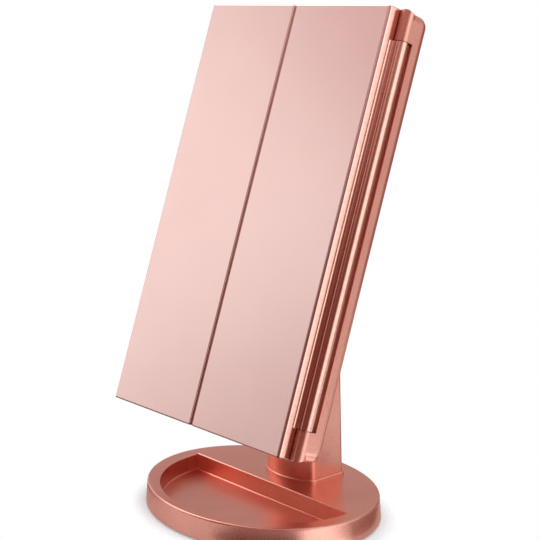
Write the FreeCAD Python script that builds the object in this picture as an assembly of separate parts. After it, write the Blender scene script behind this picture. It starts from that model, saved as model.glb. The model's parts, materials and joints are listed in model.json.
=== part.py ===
import FreeCAD, Part
import math
import os

from FreeCAD import Vector

# Lighted tri-fold makeup mirror. Millimetres, +Z up, the doors face -Y.
# The origin is on the floor under the middle of the oval base.
# Pieces of the head are drawn upright in their own frame and then leaned back:
# x across, y backwards from the doors' front face, z up from the doors' lower edge.

X_AXIS = Vector(1, 0, 0)
Y_AXIS = Vector(0, 1, 0)
Z_AXIS = Vector(0, 0, 1)
ORIGIN = Vector(0, 0, 0)

# Shared clearances
cut_overrun = 1.0
match_tolerance = 0.001
quarter_turn = 90.0
running_fit = 0.05
seat_gap = 0.1
part_gap = 0.3
hinge_gap = 0.4

# Oval base
base_half_width = 81.0
base_half_depth = 65.9
base_top = 15.3
base_draft = 1.2
base_edge_radius = 1.3
base_lower_radius = 0.8
base_wall = 2.2
base_roof = 1.8

# Tray in front of the stem
tray_rear_depth = 60.5
tray_centre_y = 4.0
tray_side_rim = 9.5
tray_front_rim = 5.9
tray_depth = 11.1
tray_wall = 1.8
tray_floor = 1.3
tray_edge_radius = 0.9
tray_floor_radius = 0.8

# Bottom plate and feet
foot_height = 1.0
foot_radius = 5.0
foot_rounding = 0.4
front_foot_shares = (0.568, -0.637)
rear_foot_shares = (0.704, 0.516)
plate_thickness = 1.6

# Screws that hold the bottom plate
plate_screw_side_y = -4.0
plate_screw_rear_shares = (0.6, 0.68)
plate_boss_radius = 3.0
plate_screw_radius = 1.1
plate_screw_length = 7.5
plate_head_radius = 2.1
plate_head_height = 1.0

# Batteries
cell_radius = 5.25
cell_length = 44.5
cell_nub_radius = 1.9
cell_nub_length = 0.8
cell_pitch = 10.9
cell_row_set_back = 15.9
contact_space = 3.6
contact_thickness = 0.4
contact_width = 8.0
contact_dome_radius = 2.4
holder_wall = 1.4
holder_gap = 0.6

# Battery lid
lid_thickness = 1.4
lid_trunnion_radius = 0.45
lid_trunnion_length = 1.0
lid_grip_width = 12.0
lid_grip_depth = 1.2
lid_grip_height = 0.5
lid_grip_pitch = 2.4
lid_grip_count = 3
lid_grip_inset = 5.0

# Connector panel at the back of the base
panel_half_width = 26.0
panel_set_in = 4.7
panel_wall = 2.0
panel_margin = 2.0
panel_inset_z = 2.0

# Power board with its socket and switch
board_thickness = 1.2
board_depth = 8.0
board_half_width = 25.0
board_lift = 1.6
board_post_radius = 1.8
board_post_x = 21.0
usb_x = 13.0
usb_width = 8.9
usb_height = 3.2
usb_length = 6.6
usb_wall = 0.4
usb_corner = 1.2
usb_tongue_width = 6.2
usb_tongue_height = 0.7
usb_tongue_length = 4.6
switch_x = -13.0
switch_travel = 4.0
switch_body_width = 11.0
switch_body_height = 4.6
switch_body_wall = 0.8
knob_width = 3.2
knob_height = 2.0
knob_stand_out = 1.6
knob_flange_width = 4.4
knob_flange_height = 2.8
knob_flange_depth = 1.2
knob_edge = 0.3

# Stem
stem_foot_half_width = 21.7
stem_top_half_width = 18.6
stem_set_in = 15.2
stem_foot_depth = 34.6
stem_foot_front_radius = 34.0
stem_top_front_radius = 60.0
stem_foot_corner = 5.0
stem_top_corner = 3.0
stem_back_corner = 2.5
stem_wall = 2.2
stem_collar = 1.2
stem_collar_height = 2.2
stem_collar_rounding = 0.8
stem_screw_insets = (12.2, 4.6)
stem_screw_radius = 1.4
stem_screw_length = 12.0
stem_head_radius = 2.6
stem_head_height = 1.5
stem_boss_radius = 3.0
stem_boss_height = 14.0
stem_boss_root = 0.8

# Tilt joint on top of the stem
pivot_set_in = 30.3
pivot_z = 182.41
ear_radius = 12.0
ear_inner_half = 12.0
ear_edge_radius = 1.0
knuckle_half = 11.0
knuckle_radius = 9.6
neck_half_height = 7.0
washer_radius = 8.0
shaft_radius = 3.0
cap_radius = 6.0
cap_depth = 1.6
cap_stand_out = 0.8
cap_rounding = 0.6

# Head as a whole
head_tilt = 18.81
head_height = 259.4
pivot_up = 140.4
pivot_stand_off = 23.06

# Doors
doors_width = 157.0
door_gap = 2.2
door_thickness = 7.1
door_front_wall = 1.8
door_rim = 2.2
door_edge_radius = 0.7
door_flare = 1.1
door_hinge_edge_radius = 2.0
door_web_front = 5.0
door_web_angle = 25.0
door_valley = 0.6
door_frame_land = 4.0
door_mirror_thickness = 1.9
door_mirror_bar = 8.0
dished_thickness = 4.5
upper_dish_radius = 640.0
lower_dish_radius = 900.0

# Door hinges
hinge_out = 5.0
hinge_depth = 10.6
barrel_radius = 4.0
end_knuckle_drop = 0.2
end_knuckle_length = 17.8
end_knuckle_flat_depth = 0.5
end_knuckle_fall_depth = 6.0
end_knuckle_fall = 2.4
hinge_pin_radius = 1.2
hinge_pin_length = 30.0
hinge_pin_cover = 3.4

# Back shell of the head
shell_drop = 0.2
shell_front = 7.7
shell_back = 26.1
shell_corner = 6.5
shell_back_radius = 6.0
shell_wall = 2.0
notch_depth = 7.6

# Front frame with the centre mirror and its lights
frame_thickness = 3.2
channel_wall = 1.6
mirror_side_land = 3.9
mirror_end_land = 13.5
mirror_thickness = 2.0
mirror_ledge = 4.0
mirror_edge = 0.3
window_land = 0.5
window_width = 9.0
window_end_inset = 11.0
diffuser_flange = 1.6
diffuser_flange_thickness = 1.2
led_board_width = 9.0
led_board_end_inset = 2.0
led_board_thickness = 1.0
led_setback = 3.0
led_width = 2.8
led_length = 3.5
led_height = 1.0
led_count = 12
led_rib_width = 3.0
touch_radius = 8.0
touch_thickness = 0.6
touch_up = 26.0
control_width = 56.0
control_height = 54.0
control_thickness = 1.2
control_lift = 2.4
control_up = 70.0
control_post_radius = 2.0
control_post_inset = 5.0
chip_width = 9.0
chip_height = 7.0
chip_thickness = 1.4
chip_pitch = 16.0

# Screws through the back shell into the front frame
head_screw_x = 45.0
head_screw_inset = 9.4
head_boss_radius = 3.6
head_screw_radius = 1.1
head_screw_head_radius = 2.2
head_screw_head_height = 1.4
head_recess_radius = 2.6
head_recess_depth = 8.0
head_screw_bite = 2.2

# Tilt bracket on the back of the head
bracket_half_width = 30.0
bracket_half_height = 26.0
bracket_thickness = 3.0
bracket_corner = 8.0
bracket_rounding = 1.0
bracket_screw_x = 22.0
bracket_screw_z = 18.0
bracket_boss_radius = 3.2
bracket_boss_length = 6.0
bracket_screw_radius = 1.3
bracket_screw_length = 6.5
bracket_head_radius = 2.6
bracket_head_height = 1.5

# Places worked out from the sizes above
tray_back = base_half_depth - tray_rear_depth
tray_half_width = base_half_width - tray_side_rim
tray_half_depth = base_half_depth - tray_front_rim + tray_centre_y
panel_face_y = base_half_depth - panel_set_in
cell_row_y = tray_back + cell_row_set_back
stem_foot_back = base_half_depth - stem_set_in
stem_foot_front = stem_foot_back - stem_foot_depth
pivot_y = base_half_depth - pivot_set_in
plate_low = foot_height
plate_high = plate_low + plate_thickness
tray_floor_z = base_top - tray_depth
tray_under_z = tray_floor_z - tray_floor
roof_z = base_top - base_roof
cavity_half_width = base_half_width - base_wall
cavity_half_depth = base_half_depth - base_wall
cell_z = plate_low + lid_thickness + part_gap + cell_radius
cells_half_length = cell_length + contact_space
cells_half_depth = cell_pitch / 2 + cell_radius
bay_half_x = cells_half_length + contact_thickness
bay_low_y = cell_row_y - cells_half_depth - holder_gap
bay_high_y = cell_row_y + cells_half_depth + holder_gap
lid_half_x = bay_half_x - holder_wall
lid_low_y = bay_low_y + holder_wall
lid_high_y = bay_high_y - holder_wall
lid_axis_y = lid_low_y + lid_thickness / 2
lid_axis_z = plate_low + lid_thickness / 2
board_low = plate_high + board_lift
board_high = board_low + board_thickness
panel_inner_y = panel_face_y - panel_wall
board_back_y = panel_inner_y - part_gap
board_front_y = board_back_y - board_depth
switch_mid_z = board_high + switch_body_height / 2
ear_outer_half = stem_top_half_width
stem_screw_x = stem_foot_half_width - stem_wall - stem_boss_radius + stem_boss_root
stem_top_front = pivot_y - ear_radius
stem_top_back = pivot_y + ear_radius
slot_radius = knuckle_radius + 2 * part_gap
stem_solid_z = pivot_z - ear_radius - slot_radius

door_half_gap = door_gap / 2
door_edge_x = doors_width / 2
hinge_x = door_edge_x + hinge_out
shell_half_width = hinge_x + barrel_radius
shell_low = shell_drop
shell_high = head_height - shell_drop
knuckle_low = end_knuckle_drop
knuckle_high = head_height - end_knuckle_drop
knuckle_low_end = knuckle_low + end_knuckle_length
knuckle_high_end = knuckle_high - end_knuckle_length
barrel_low = knuckle_low_end + hinge_gap
barrel_high = knuckle_high_end - hinge_gap
hinge_clear_radius = barrel_radius + hinge_gap
door_back_x = door_edge_x + door_flare
frame_half_width = hinge_x - hinge_clear_radius - part_gap
frame_low = shell_low + shell_wall + part_gap
frame_high = shell_high - shell_wall - part_gap
frame_back = shell_front + frame_thickness
shell_inner_back = shell_back - shell_wall
notch_back = shell_front + notch_depth
channel_front = notch_back + part_gap
head_middle = head_height / 2
window_x = frame_half_width - channel_wall - window_land - diffuser_flange - window_width / 2
mirror_width = 2 * (window_x - window_width / 2 - mirror_side_land)
mirror_height = head_height - 2 * mirror_end_land
window_length = mirror_height - 2 * window_end_inset
led_board_length = window_length - 2 * led_board_end_inset
mirror_front = shell_front + seat_gap
mirror_back = mirror_front + mirror_thickness
flange_front = frame_back + seat_gap
led_front = flange_front + diffuser_flange_thickness + led_setback
led_board_front = led_front + led_height
led_board_back = led_board_front + led_board_thickness
door_inside_x = hinge_x - hinge_clear_radius - door_rim
door_pocket_low = door_rim
door_pocket_high = head_height - door_rim
pivot_back = shell_back + pivot_stand_off


# Building helpers
def box(x_span, y_span, z_span):
    """Square block between the low and high value of each span."""
    size = [span[1] - span[0] for span in (x_span, y_span, z_span)]
    return Part.makeBox(size[0], size[1], size[2], Vector(x_span[0], y_span[0], z_span[0]))


def rod(start, direction, radius, length):
    """Round bar from a start point along a direction."""
    return Part.makeCylinder(radius, length, start, direction)


def joined(solids):
    """One solid out of pieces that share volume or faces."""
    return solids[0].multiFuse(solids[1:]).removeSplitter()


def group(solids):
    """Several separate solids that share one node."""
    return Part.makeCompound(solids)


def mirrored(shape):
    """The same shape on the other side of the middle plane."""
    return shape.mirror(ORIGIN, X_AXIS)


def around(middle, half):
    """Span of a given half size about a middle value."""
    return (middle - half, middle + half)


def edges_along(shape, direction):
    """Straight edges that run parallel to a direction."""
    found = []
    for edge in shape.Edges:
        if edge.Curve.TypeId == "Part::GeomLine":
            if edge.tangentAt(edge.FirstParameter).cross(direction).Length < match_tolerance:
                found.append(edge)
    return found


def edges_on_plane(shape, axis, value):
    """Edges that lie whole in the plane where the axis coordinate has a value."""
    found = []
    for edge in shape.Edges:
        reach = [point.dot(axis) - value for point in edge.discretize(5)]
        if max(abs(step) for step in reach) < match_tolerance:
            found.append(edge)
    return found


def ellipse_wire(centre, half_x, half_y):
    """Level ellipse with its own half sizes along x and y."""
    edge = Part.Ellipse(centre, max(half_x, half_y), min(half_x, half_y)).toShape()
    if half_y > half_x:
        edge.rotate(centre, Z_AXIS, quarter_turn)
    return Part.Wire(edge)


def ellipse_prism(centre_y, half_x, half_y, z_span):
    """Upright wall of elliptical plan."""
    wire = ellipse_wire(Vector(0, centre_y, z_span[0]), half_x, half_y)
    return Part.Face(wire).extrude(Vector(0, 0, z_span[1] - z_span[0]))


def lean(shape):
    """Carry a piece of the head from its upright frame to the tilt joint."""
    placed = shape.copy()
    placed.translate(Vector(0, -pivot_back, -pivot_up))
    placed.rotate(ORIGIN, X_AXIS, -head_tilt)
    placed.translate(Vector(0, pivot_y, pivot_z))
    return placed


def screw(seat, direction, shank, head):
    """Screw whose head sits on a seat; shank and head are pairs of radius and length."""
    body = rod(seat, direction, shank[0], shank[1])
    cap = rod(seat, direction * -1, head[0], head[1])
    return joined([body, cap])


# Oval base
def tray_form(inset_wall, z_span):
    """D-shaped tray body: part of an ellipse with a straight back."""
    half_x = tray_half_width + inset_wall
    half_y = tray_half_depth + inset_wall
    oval = ellipse_prism(tray_centre_y, half_x, half_y, z_span)
    front = box(around(0, half_x), (tray_centre_y - half_y, tray_back + inset_wall), z_span)
    return oval.common(front)


def on_oval(half_x, half_y, y):
    """Half width of an oval at a distance along y from its middle."""
    return half_x * math.sqrt(1 - (y / half_y) ** 2)


def plate_screw_places():
    """Four bosses: one in each side rim, two beside the stem."""
    outer = on_oval(cavity_half_width, cavity_half_depth, plate_screw_side_y)
    inner = on_oval(tray_half_width + tray_wall, tray_half_depth + tray_wall,
                    plate_screw_side_y - tray_centre_y)
    rear_x, rear_y = plate_screw_rear_shares
    sides = [Vector(side * (outer + inner) / 2, plate_screw_side_y, 0) for side in (-1, 1)]
    rear = [Vector(side * rear_x * cavity_half_width, rear_y * cavity_half_depth, 0) for side in (-1, 1)]
    return sides + rear


def stem_screw_places():
    """Four screws from inside the base into the stem's foot."""
    return [Vector(side * stem_screw_x, stem_foot_back - inset, 0) for side in (-1, 1)
            for inset in stem_screw_insets]


def base_outer():
    """Drafted oval block with rounded rims."""
    low = ellipse_wire(Vector(0, 0, plate_low), base_half_width + base_draft,
                       base_half_depth + base_draft)
    high = ellipse_wire(Vector(0, 0, base_top), base_half_width, base_half_depth)
    block = Part.makeLoft([low, high], True, True)
    block = block.makeFillet(base_edge_radius, edges_on_plane(block, Z_AXIS, base_top))
    return block.makeFillet(base_lower_radius, edges_on_plane(block, Z_AXIS, plate_low))


def base_shell():
    """Moulded base: open below, tray sunk into the front, connector panel at the back."""
    outer = base_outer()
    tray = tray_form(0, (tray_floor_z, base_top + cut_overrun))
    tray = tray.makeFillet(tray_floor_radius, edges_on_plane(tray, Z_AXIS, tray_floor_z))
    shell = outer.cut(tray)
    rim = [edge for edge in edges_on_plane(shell, Z_AXIS, base_top)
           if edge.BoundBox.YMax < tray_back + part_gap]
    shell = shell.makeFillet(tray_edge_radius, rim)
    cavity = ellipse_prism(0, cavity_half_width, cavity_half_depth, (plate_low - cut_overrun, roof_z))
    cavity = cavity.cut(tray_form(tray_wall, (tray_under_z, base_top)))
    panel = box(around(0, panel_half_width + panel_margin),
                (panel_inner_y, base_half_depth), (plate_high + part_gap, roof_z))
    cavity = cavity.cut(panel)
    for place in plate_screw_places():
        boss = rod(place + Vector(0, 0, plate_high + seat_gap), Z_AXIS, plate_boss_radius, base_top)
        cavity = cavity.cut(boss)
    shell = shell.cut(cavity)
    pocket = box(around(0, panel_half_width),
                 (panel_face_y, base_half_depth + base_draft + cut_overrun),
                 (plate_high + panel_inset_z, roof_z - panel_inset_z / 2))
    shell = shell.cut(pocket)
    shell = shell.cut(usb_opening())
    shell = shell.cut(switch_slot())
    for place in plate_screw_places():
        pilot = rod(place + Vector(0, 0, plate_low), Z_AXIS, plate_screw_radius,
                    plate_screw_length + plate_thickness)
        shell = shell.cut(pilot)
    for place in stem_screw_places():
        hole = rod(place + Vector(0, 0, roof_z - cut_overrun), Z_AXIS,
                   stem_screw_radius + running_fit, base_roof + 2 * cut_overrun)
        shell = shell.cut(hole)
    return shell


def base_plate():
    """Flat bottom with the battery bay's opening and the posts of the power board."""
    plate = ellipse_prism(0, cavity_half_width - part_gap, cavity_half_depth - part_gap,
                          (plate_low, plate_high))
    opening = box(around(0, lid_half_x + hinge_gap), (lid_low_y - hinge_gap, lid_high_y + hinge_gap),
                  (plate_low - cut_overrun, plate_high + cut_overrun))
    plate = plate.cut(opening)
    post_y = (board_front_y + board_back_y) / 2
    posts = [rod(Vector(side * board_post_x, post_y, plate_low), Z_AXIS,
                 board_post_radius, plate_thickness + board_lift) for side in (-1, 1)]
    plate = joined([plate] + posts)
    trunnion_reach = lid_half_x + lid_trunnion_length + part_gap
    sockets = rod(Vector(-trunnion_reach, lid_axis_y, lid_axis_z), X_AXIS,
                  lid_trunnion_radius + running_fit, 2 * trunnion_reach)
    plate = plate.cut(sockets)
    for place in plate_screw_places():
        hole = rod(place, Z_AXIS, plate_screw_radius + running_fit, base_top)
        sink = rod(place, Z_AXIS, plate_head_radius + part_gap, plate_low + plate_head_height)
        plate = plate.cut(hole).cut(sink)
    return plate


def plate_screws():
    """Screws that hold the bottom plate, with sunk heads."""
    seat = Vector(0, 0, plate_low + plate_head_height)
    return group([screw(place + seat, Z_AXIS, (plate_screw_radius, plate_screw_length),
                        (plate_head_radius, plate_head_height)) for place in plate_screw_places()])


def rubber_feet():
    """Round pads under the bottom plate; the mirror stands on them."""
    places = [(side * share_x * base_half_width, share_y * base_half_depth) for side in (-1, 1)
              for share_x, share_y in (front_foot_shares, rear_foot_shares)]
    feet = []
    for x, y in places:
        foot = rod(Vector(x, y, 0), Z_AXIS, foot_radius, foot_height)
        feet.append(foot.makeFillet(foot_rounding, edges_on_plane(foot, Z_AXIS, 0)))
    return group(feet)


# Batteries and their lid
def battery_cells():
    """Four round cells in two rows, two end to end in each row."""
    cells = []
    for row in (-1, 1):
        y = cell_row_y + row * cell_pitch / 2
        for start in (-cell_length, 0):
            can = rod(Vector(start, y, cell_z), X_AXIS, cell_radius, cell_length - cell_nub_length - seat_gap)
            nub = rod(Vector(start, y, cell_z), X_AXIS, cell_nub_radius, cell_length - seat_gap)
            cells.append(joined([can, nub]))
    return group(cells)


def battery_contacts():
    """Sprung contact plates at both ends of the rows."""
    plates = []
    for side in (-1, 1):
        for row in (-1, 1):
            y = cell_row_y + row * cell_pitch / 2
            inner = cells_half_length
            span = sorted((side * inner, side * (inner + contact_thickness - seat_gap)))
            plate = box(span, around(y, contact_width / 2), around(cell_z, contact_width / 2))
            dome = rod(Vector(side * (cell_length + seat_gap), y, cell_z), X_AXIS * side,
                       contact_dome_radius, contact_space)
            plates.append(joined([plate, dome]))
    return group(plates)


def battery_holder():
    """Open frame that stands round the rows of cells, under the roof of the base."""
    z_span = (plate_high + seat_gap, roof_z - seat_gap)
    outer = box(around(0, bay_half_x + holder_wall),
                (bay_low_y - holder_wall, bay_high_y + holder_wall), z_span)
    inner = box(around(0, bay_half_x), (bay_low_y, bay_high_y), (plate_low, base_top))
    return outer.cut(inner)


def battery_lid():
    """Lid that swings down on two trunnions, with grip ribs at its free edge."""
    z_span = (plate_low, plate_low + lid_thickness)
    flap = box(around(0, lid_half_x), (lid_axis_y, lid_high_y), z_span)
    nose = rod(Vector(-lid_half_x, lid_axis_y, lid_axis_z), X_AXIS, lid_thickness / 2, 2 * lid_half_x)
    reach = lid_half_x + lid_trunnion_length
    trunnions = rod(Vector(-reach, lid_axis_y, lid_axis_z), X_AXIS, lid_trunnion_radius, 2 * reach)
    lid = joined([flap, nose, trunnions])
    for step in range(lid_grip_count):
        y = lid_high_y - lid_grip_inset - step * lid_grip_pitch
        groove = box(around(0, lid_grip_width / 2), around(y, lid_grip_depth / 2),
                     (plate_low - cut_overrun, plate_low + lid_grip_height))
        lid = lid.cut(groove)
    return lid


# Power board, socket and switch
def power_board():
    """Small board behind the connector panel."""
    return box(around(0, board_half_width), (board_front_y, board_back_y), (board_low, board_high))


def usb_section(x_half, z_half, corner, y_span):
    """Rounded flat tube form of the socket."""
    mid_z = board_high + usb_height / 2
    block = box(around(usb_x, x_half), y_span, around(mid_z, z_half))
    return block.makeFillet(corner, edges_along(block, Y_AXIS))


def usb_opening():
    """Opening for the socket in the connector panel."""
    return usb_section(usb_width / 2 + part_gap, usb_height / 2 + part_gap, usb_corner + part_gap,
                       (panel_inner_y - cut_overrun, panel_face_y + cut_overrun))


def usb_socket():
    """Low-voltage inlet with its tongue; its mouth is flush with the panel."""
    y_span = (panel_face_y - usb_length, panel_face_y)
    can = usb_section(usb_width / 2, usb_height / 2, usb_corner, y_span)
    mouth = usb_section(usb_width / 2 - usb_wall, usb_height / 2 - usb_wall, usb_corner - usb_wall,
                        (y_span[0] + usb_wall, panel_face_y + cut_overrun))
    tongue = box(around(usb_x, usb_tongue_width / 2), (y_span[0], y_span[0] + usb_wall + usb_tongue_length),
                 around(board_high + usb_height / 2, usb_tongue_height / 2))
    return joined([can.cut(mouth), tongue])


def knob_path(width, height, y_span):
    """Space that a part of the knob sweeps, with a clearance all round."""
    x_span = (switch_x - width / 2 - part_gap, switch_x + switch_travel + width / 2 + part_gap)
    return box(x_span, y_span, around(switch_mid_z, height / 2 + part_gap))


def switch_slot():
    """Slot for the knob in the connector panel."""
    return knob_path(knob_width, knob_height, (panel_inner_y - cut_overrun, panel_face_y + cut_overrun))


def switch_body():
    """Slide switch on the power board, open towards the panel."""
    mid_x = switch_x + switch_travel / 2
    back_y = board_back_y
    front_y = back_y - knob_flange_depth - 2 * part_gap - 2 * switch_body_wall
    body = box(around(mid_x, switch_body_width / 2), (front_y, back_y),
               (board_high, board_high + switch_body_height))
    flange_back = back_y - switch_body_wall
    flange = knob_path(knob_flange_width, knob_flange_height,
                       (flange_back - knob_flange_depth - 2 * part_gap, flange_back))
    mouth = knob_path(knob_width, knob_height, (flange_back - cut_overrun, back_y + cut_overrun))
    return body.cut(flange).cut(mouth)


def switch_knob():
    """Sliding knob held in the switch by its flange."""
    flange_back = board_back_y - switch_body_wall - part_gap
    flange = box(around(switch_x, knob_flange_width / 2), (flange_back - knob_flange_depth, flange_back),
                 around(switch_mid_z, knob_flange_height / 2))
    button = box(around(switch_x, knob_width / 2),
                 (flange_back - knob_flange_depth, panel_face_y + knob_stand_out),
                 around(switch_mid_z, knob_height / 2))
    button = button.makeFillet(knob_edge, edges_on_plane(button, Y_AXIS, panel_face_y + knob_stand_out))
    return joined([flange, button])


# Stem
def stem_section(z, grow, half_width, front, back, front_radius, corner):
    """Closed outline at one height: flat back and sides, bowed front, round corners."""
    w = half_width + grow
    y_back = back + grow
    big = front_radius + grow
    r = max(corner + grow, stem_wall / 2)
    back_r = max(stem_back_corner + grow, stem_wall / 2)
    back_x = w - back_r
    centre_y = front + front_radius
    corner_x = w - r
    corner_y = centre_y - math.sqrt((big - r) ** 2 - corner_x ** 2)
    reach = big / (big - r)
    touch_x = corner_x * reach
    touch_y = centre_y + (corner_y - centre_y) * reach
    turn = math.atan2(centre_y - corner_y, corner_x) / 2
    front_mid = Vector(corner_x + r * math.cos(turn), corner_y - r * math.sin(turn), z)
    half_turn = math.sqrt(0.5)
    back_mid = Vector(back_x + back_r * half_turn, y_back - back_r + back_r * half_turn, z)
    right = [Vector(touch_x, touch_y, z), front_mid, Vector(w, corner_y, z),
             Vector(w, y_back - back_r, z), back_mid, Vector(back_x, y_back, z)]
    left = [Vector(-point.x, point.y, point.z) for point in right]
    apex = Vector(0, centre_y - big, z)
    edges = [
        Part.Arc(left[0], apex, right[0]).toShape(),
        Part.Arc(right[0], right[1], right[2]).toShape(),
        Part.LineSegment(right[2], right[3]).toShape(),
        Part.Arc(right[3], right[4], right[5]).toShape(),
        Part.LineSegment(right[5], left[5]).toShape(),
        Part.Arc(left[5], left[4], left[3]).toShape(),
        Part.LineSegment(left[3], left[2]).toShape(),
        Part.Arc(left[2], left[1], left[0]).toShape(),
    ]
    return Part.Wire(edges)


def stem_foot_section(z, grow):
    """Outline of the stem where it stands on the base."""
    return stem_section(z, grow, stem_foot_half_width, stem_foot_front, stem_foot_back,
                        stem_foot_front_radius, stem_foot_corner)


def stem_top_section(z, grow):
    """Outline of the stem at the height of the tilt joint."""
    return stem_section(z, grow, stem_top_half_width, stem_top_front, stem_top_back,
                        stem_top_front_radius, stem_top_corner)


def pivot_rod(half_length, radius):
    """Round bar on the tilt axis, even about the middle."""
    return rod(Vector(-half_length, pivot_y, pivot_z), X_AXIS, radius, 2 * half_length)


def stem():
    """Hollow post with a collar at its foot and a fork at its top."""
    post = Part.makeLoft([stem_foot_section(base_top, 0), stem_top_section(pivot_z, 0)], True, True)
    crown = pivot_rod(ear_outer_half, ear_radius)
    rim = edges_on_plane(crown, X_AXIS, ear_outer_half) + edges_on_plane(crown, X_AXIS, -ear_outer_half)
    crown = crown.makeFillet(ear_edge_radius, rim)
    collar = Part.Face(stem_foot_section(base_top, stem_collar)).extrude(Vector(0, 0, stem_collar_height))
    collar_top = edges_on_plane(collar, Z_AXIS, base_top + stem_collar_height)
    collar = collar.makeFillet(stem_collar_rounding, collar_top)
    post = joined([post, crown, collar])
    hollow = Part.makeLoft([stem_foot_section(base_top - cut_overrun, -stem_wall),
                            stem_top_section(pivot_z, -stem_wall)], True, True)
    below = box(around(0, base_half_width), around(0, base_half_width), (0, stem_solid_z))
    hollow = hollow.common(below)
    for place in stem_screw_places():
        hollow = hollow.cut(rod(place, Z_AXIS, stem_boss_radius, base_top + stem_boss_height))
    post = post.cut(hollow)
    for place in stem_screw_places():
        pilot = rod(place, Z_AXIS, stem_screw_radius, roof_z + stem_screw_length)
        post = post.cut(pilot)
    slot = joined([
        pivot_rod(ear_inner_half, slot_radius),
        box(around(0, ear_inner_half), around(pivot_y, ear_radius + cut_overrun),
            (pivot_z, pivot_z + ear_radius + cut_overrun)),
        box(around(0, ear_inner_half), (stem_foot_front - cut_overrun, pivot_y),
            around(pivot_z, slot_radius)),
    ])
    post = post.cut(slot)
    post = post.cut(pivot_rod(ear_outer_half + cut_overrun, shaft_radius))
    for side in (-1, 1):
        sink = rod(Vector(side * (ear_outer_half - cap_depth), pivot_y, pivot_z), X_AXIS * side,
                   cap_radius + seat_gap, cap_depth + cut_overrun)
        post = post.cut(sink)
    return post


def stem_screws():
    """Screws that hold the stem, put in from inside the base."""
    seat = Vector(0, 0, roof_z)
    return group([screw(place + seat, Z_AXIS, (stem_screw_radius, stem_screw_length),
                        (stem_head_radius, stem_head_height)) for place in stem_screw_places()])


# Tilt joint
def tilt_shaft():
    """Steel shaft held in the two ears of the fork."""
    return pivot_rod(ear_outer_half - cap_depth - seat_gap, shaft_radius)


def friction_washers():
    """Spring washers between the ears and the head's knuckle."""
    washers = []
    for side in (-1, 1):
        start = Vector(side * (knuckle_half + running_fit), pivot_y, pivot_z)
        thickness = ear_inner_half - knuckle_half - 2 * running_fit
        disc = rod(start, X_AXIS * side, washer_radius, thickness)
        washers.append(disc.cut(pivot_rod(ear_outer_half, shaft_radius + running_fit)))
    return group(washers)


def pivot_caps():
    """Round caps over the ends of the shaft."""
    caps = []
    for side in (-1, 1):
        start = Vector(side * (ear_outer_half - cap_depth), pivot_y, pivot_z)
        cap = rod(start, X_AXIS * side, cap_radius, cap_depth + cap_stand_out)
        face = edges_on_plane(cap, X_AXIS, side * (ear_outer_half + cap_stand_out))
        caps.append(cap.makeFillet(cap_rounding, face))
    return group(caps)


def tilt_bracket():
    """Plate on the back of the head with a neck and a knuckle round the shaft."""
    plate = box(around(0, bracket_half_width), (shell_back, shell_back + bracket_thickness),
                around(pivot_up, bracket_half_height))
    plate = plate.makeFillet(bracket_corner, edges_along(plate, Y_AXIS))
    plate = plate.makeFillet(bracket_rounding, edges_on_plane(plate, Y_AXIS, shell_back + bracket_thickness))
    neck = box(around(0, knuckle_half), (shell_back, pivot_back), around(pivot_up, neck_half_height))
    knuckle = rod(Vector(-knuckle_half, pivot_back, pivot_up), X_AXIS, knuckle_radius, 2 * knuckle_half)
    bracket = joined([plate, neck, knuckle])
    bore = rod(Vector(-knuckle_half - cut_overrun, pivot_back, pivot_up), X_AXIS,
               shaft_radius + running_fit, 2 * (knuckle_half + cut_overrun))
    bracket = bracket.cut(bore)
    for place in bracket_screw_places():
        hole = rod(place + Vector(0, shell_back - cut_overrun, 0), Y_AXIS,
                   bracket_screw_radius + running_fit, bracket_thickness + 2 * cut_overrun)
        bracket = bracket.cut(hole)
    return bracket


def bracket_screw_places():
    """Four screws at the corners of the bracket."""
    return [Vector(side * bracket_screw_x, 0, pivot_up + step * bracket_screw_z)
            for side in (-1, 1) for step in (-1, 1)]


def bracket_screws():
    """Screws that hold the bracket to the back shell."""
    seat = Vector(0, shell_back + bracket_thickness, 0)
    screws = []
    for place in bracket_screw_places():
        one = screw(place + seat, Y_AXIS * -1, (bracket_screw_radius, bracket_screw_length),
                    (bracket_head_radius, bracket_head_height))
        top = edges_on_plane(one, Y_AXIS, shell_back + bracket_thickness + bracket_head_height)
        screws.append(one.makeFillet(bracket_head_height / 2, top))
    return group(screws)


# Head shell
def shell_form(inset):
    """Round-cornered body of the back shell, grown smaller by an inset."""
    body = box(around(0, shell_half_width - inset), (shell_front, shell_back - inset),
               (shell_low + inset, shell_high - inset))
    body = body.makeFillet(shell_corner - inset, edges_along(body, Y_AXIS))
    return body.makeFillet(shell_back_radius - inset, edges_on_plane(body, Y_AXIS, shell_back - inset))


def head_screw_places():
    """Four screws above and below the centre mirror."""
    return [Vector(side * head_screw_x, 0, z) for side in (-1, 1)
            for z in (head_screw_inset, head_height - head_screw_inset)]


def control_post_places():
    """Corners of the control board."""
    x = control_width / 2 - control_post_inset
    z = control_height / 2 - control_post_inset
    return [Vector(side * x, 0, control_up + step * z) for side in (-1, 1) for step in (-1, 1)]


def shell_posts():
    """Bosses and ribs that stand on the inside of the back shell."""
    wall = shell_back - shell_wall / 2
    posts = []
    for place in head_screw_places():
        front = frame_back + seat_gap
        posts.append(rod(place + Vector(0, front, 0), Y_AXIS, head_boss_radius, wall - front))
    for place in bracket_screw_places():
        front = shell_inner_back - bracket_boss_length
        posts.append(rod(place + Vector(0, front, 0), Y_AXIS, bracket_boss_radius, wall - front))
    for place in control_post_places():
        front = shell_inner_back - control_lift
        posts.append(rod(place + Vector(0, front, 0), Y_AXIS, control_post_radius, wall - front))
    for side in (-1, 1):
        posts.append(box(around(side * window_x, led_rib_width / 2), (led_board_back, wall),
                         around(head_middle, led_board_length / 2)))
    return posts


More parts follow.
